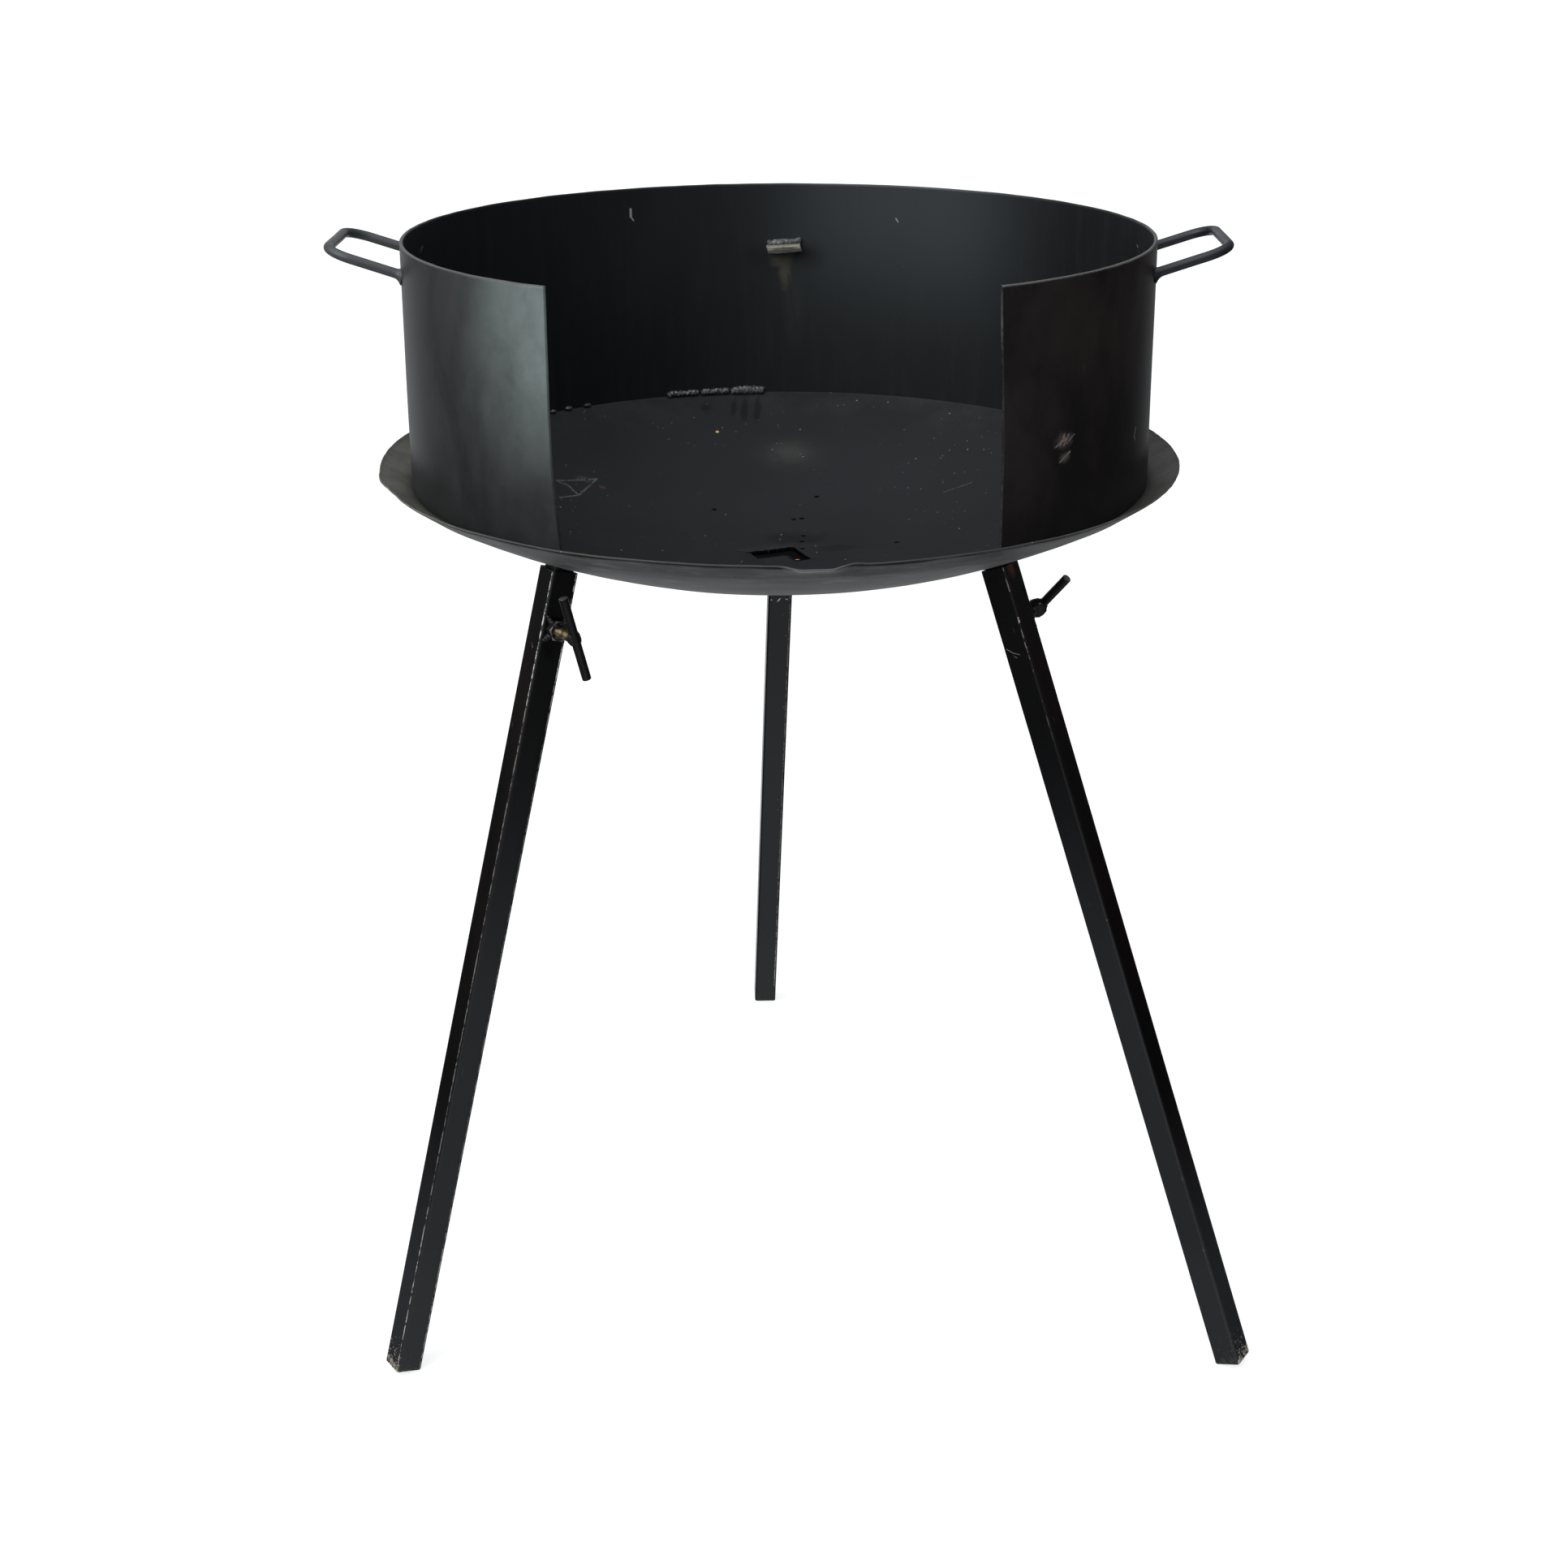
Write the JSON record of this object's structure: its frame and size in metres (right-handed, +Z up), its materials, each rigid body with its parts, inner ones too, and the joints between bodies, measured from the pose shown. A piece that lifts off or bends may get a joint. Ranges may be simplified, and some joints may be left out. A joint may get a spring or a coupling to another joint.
{
  "type": "fire pit",
  "caption": "Dished fire pan on splayed plug-in tube legs with a front-opening wind shell, lift handles, grate lugs and T-bolt leg clamps.",
  "frame": {"origin": "on the floor, under the middle of the pan", "axes": "+Z up, the opening of the wind shell faces -Y, +X to the right seen from the front"},
  "size_m": [0.8332, 0.8302, 0.995],
  "materials": {
    "pan_steel": "worn satin black over dark steel, brown-grey at the rim",
    "shell_paint": "satin black heat paint with bare cut edges",
    "tube_paint": "gloss black, chipped to bare steel along the corners",
    "rod_paint": "semi-gloss black",
    "lug_steel": "satin black with dust",
    "nut_paint": "welded, painted black, worn",
    "screw_zinc": "yellow zinc plate"
  },
  "bodies": {
    "vessel": {"pan": "pan_steel", "hub_plate": "pan_steel", "wind_shell": "shell_paint", "grate_lug_rear": "lug_steel", "grate_lug_left": "lug_steel", "grate_lug_right": "lug_steel", "handle_left": "rod_paint", "handle_right": "rod_paint", "leg_stub_rear": "tube_paint", "leg_stub_left": "tube_paint", "leg_stub_right": "tube_paint"},
    "rear_leg": {"leg_rear": "tube_paint", "clamp_nut_rear": "nut_paint"},
    "rear_screw": {"clamp_screw_rear": "screw_zinc"},
    "rear_bar": {"clamp_bar_rear": "rod_paint"},
    "left_leg": {"leg_left": "tube_paint", "clamp_nut_left": "nut_paint"},
    "left_screw": {"clamp_screw_left": "screw_zinc"},
    "left_bar": {"clamp_bar_left": "rod_paint"},
    "right_leg": {"leg_right": "tube_paint", "clamp_nut_right": "nut_paint"},
    "right_screw": {"clamp_screw_right": "screw_zinc"},
    "right_bar": {"clamp_bar_right": "rod_paint"}
  },
  "joints": [
    {"name": "leg_slide_rear", "type": "slide", "parent": "vessel", "child": "rear_leg", "axis": [-0.0487, 0.3225, -0.9453], "range_m": [0, 0.1]},
    {"name": "screw_travel_rear", "type": "slide", "parent": "rear_leg", "child": "rear_screw", "axis": [-0.9951, -0.0975, 0.0181], "range_m": [0, 0.0031]},
    {"name": "screw_turn_rear", "type": "hinge", "parent": "rear_screw", "child": "rear_bar", "pos_m": [-0.00795, 0.23159, 0.67956], "axis": [-0.9951, -0.0975, 0.0181], "range_deg": [0, 720]},
    {"name": "leg_slide_left", "type": "slide", "parent": "vessel", "child": "left_leg", "axis": [-0.2089, -0.1777, -0.9616], "range_m": [0, 0.1]},
    {"name": "screw_travel_left", "type": "slide", "parent": "left_leg", "child": "left_screw", "axis": [0.6072, -0.7944, 0.0149], "range_m": [0, 0.0031]},
    {"name": "screw_turn_left", "type": "hinge", "parent": "left_screw", "child": "left_bar", "pos_m": [-0.19287, -0.15407, 0.68467], "axis": [0.6072, -0.7944, 0.0149], "range_deg": [0, 720]},
    {"name": "leg_slide_right", "type": "slide", "parent": "vessel", "child": "right_leg", "axis": [0.3037, -0.163, -0.9387], "range_m": [0, 0.1]},
    {"name": "screw_travel_right", "type": "slide", "parent": "right_leg", "child": "right_screw", "axis": [0.5183, 0.855, 0.0192], "range_m": [0, 0.0031]},
    {"name": "screw_turn_right", "type": "hinge", "parent": "right_screw", "child": "right_bar", "pos_m": [0.20956, -0.123, 0.68326], "axis": [0.5183, 0.855, 0.0192], "range_deg": [0, 720]}
  ],
  "couplings": [
    {"joint": "screw_travel_rear", "follows": "screw_turn_rear", "m_per_rad": 0.00023873},
    {"joint": "screw_travel_left", "follows": "screw_turn_left", "m_per_rad": 0.00023873},
    {"joint": "screw_travel_right", "follows": "screw_turn_right", "m_per_rad": 0.00023873}
  ]
}
